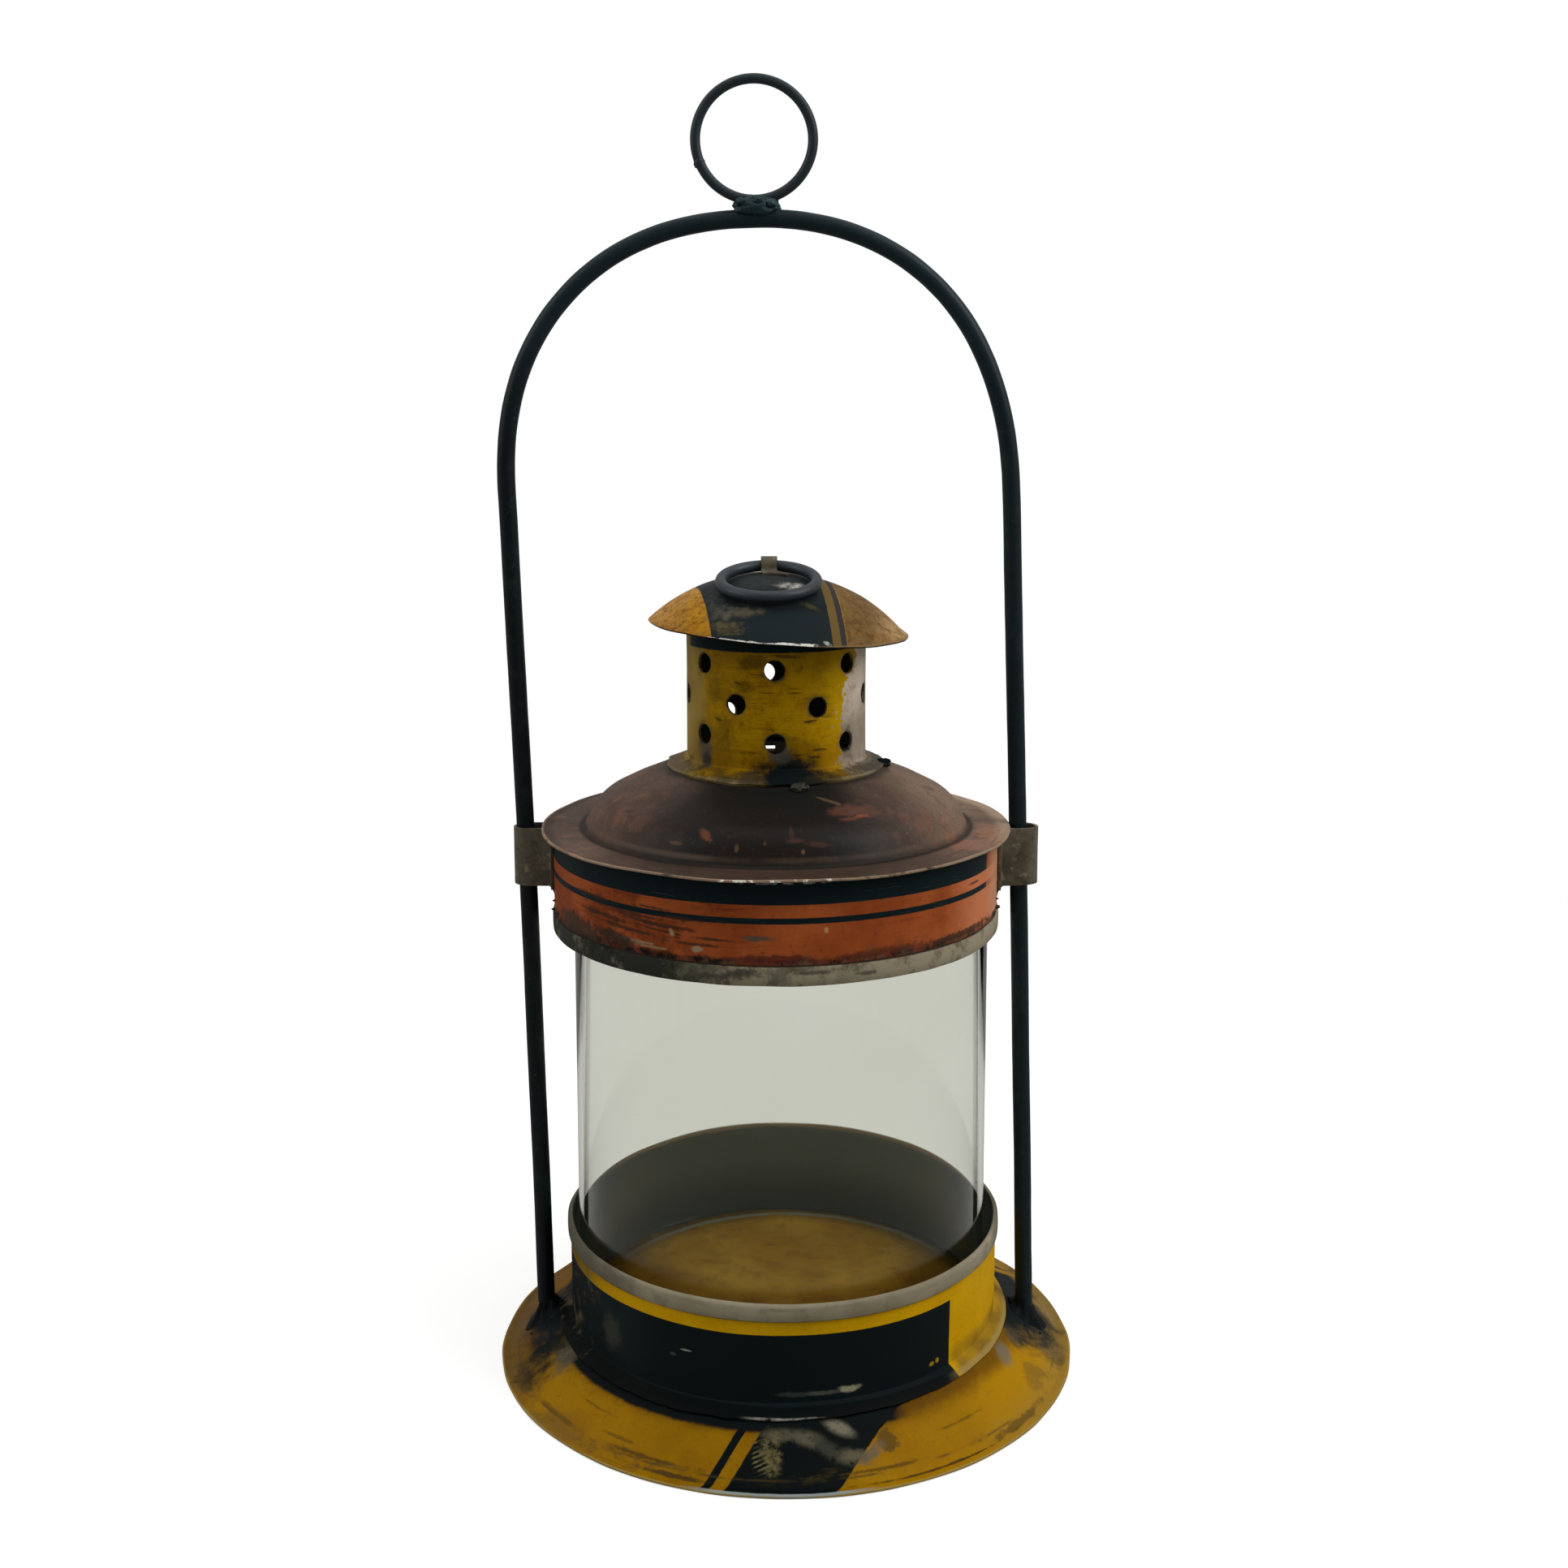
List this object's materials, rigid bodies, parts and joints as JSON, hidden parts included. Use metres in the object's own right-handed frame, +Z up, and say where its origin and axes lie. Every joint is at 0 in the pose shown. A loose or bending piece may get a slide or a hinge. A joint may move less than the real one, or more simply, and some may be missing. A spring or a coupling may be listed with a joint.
{
  "type": "hanging candle lantern",
  "caption": "Hanging candle lantern: tin base, open glass tube, hood with a vented chimney that slides up a bent iron bail, and a hanging ring on top.",
  "frame": {"origin": "centre of the base's underside, on the surface that the lantern stands on", "axes": "+Z up towards the hanging ring, -Y to the front, the bail's legs at -X and +X"},
  "size_m": [0.18, 0.18, 0.3902],
  "materials": {
    "yellow_tin": "worn mustard-yellow print on tin, satin",
    "navy_tin": "worn blue-black print on tin, satin",
    "orange_tin": "worn orange print on tin, satin",
    "rusted_tin": "brown rusted tin with paint left in places",
    "bare_tin": "dull bare tin",
    "black_iron": "satin black iron rod",
    "weld_iron": "rough weld and solder metal",
    "clear_glass": "clear, slightly dusty"
  },
  "bodies": {
    "base": {"base_plate": "yellow_tin", "base_collar": "navy_tin", "bail_rod": "black_iron", "foot_weld_left": "weld_iron", "foot_weld_right": "weld_iron", "hanging_ring": "black_iron", "ring_weld": "weld_iron"},
    "glass": {"glass_cylinder": "clear_glass"},
    "hood": {"hood_band": "orange_tin", "hood_dome": "rusted_tin", "chimney_tube": "yellow_tin", "chimney_cap": "yellow_tin", "cap_strap": "bare_tin", "clip_left": "bare_tin", "clip_right": "bare_tin", "clip_solder_left": "weld_iron", "clip_solder_right": "weld_iron", "chimney_solder_front": "weld_iron", "chimney_solder_side": "weld_iron"},
    "cap_loop": {"cap_ring": "black_iron"}
  },
  "joints": [
    {"name": "hood_slide", "type": "slide", "parent": "base", "child": "hood", "axis": [-0.0349, 0, 0.9994], "range_m": [0, 0.0935]},
    {"name": "cap_ring_flip", "type": "hinge", "parent": "hood", "child": "cap_loop", "pos_m": [-0.00521, 0, 0.24644], "axis": [-1, 0, 0], "range_deg": [0, 207]},
    {"name": "glass_turn", "type": "hinge", "parent": "base", "child": "glass", "pos_m": [-0.0016, 0, 0.0155], "axis": [0, 0, 1], "continuous": true}
  ]
}
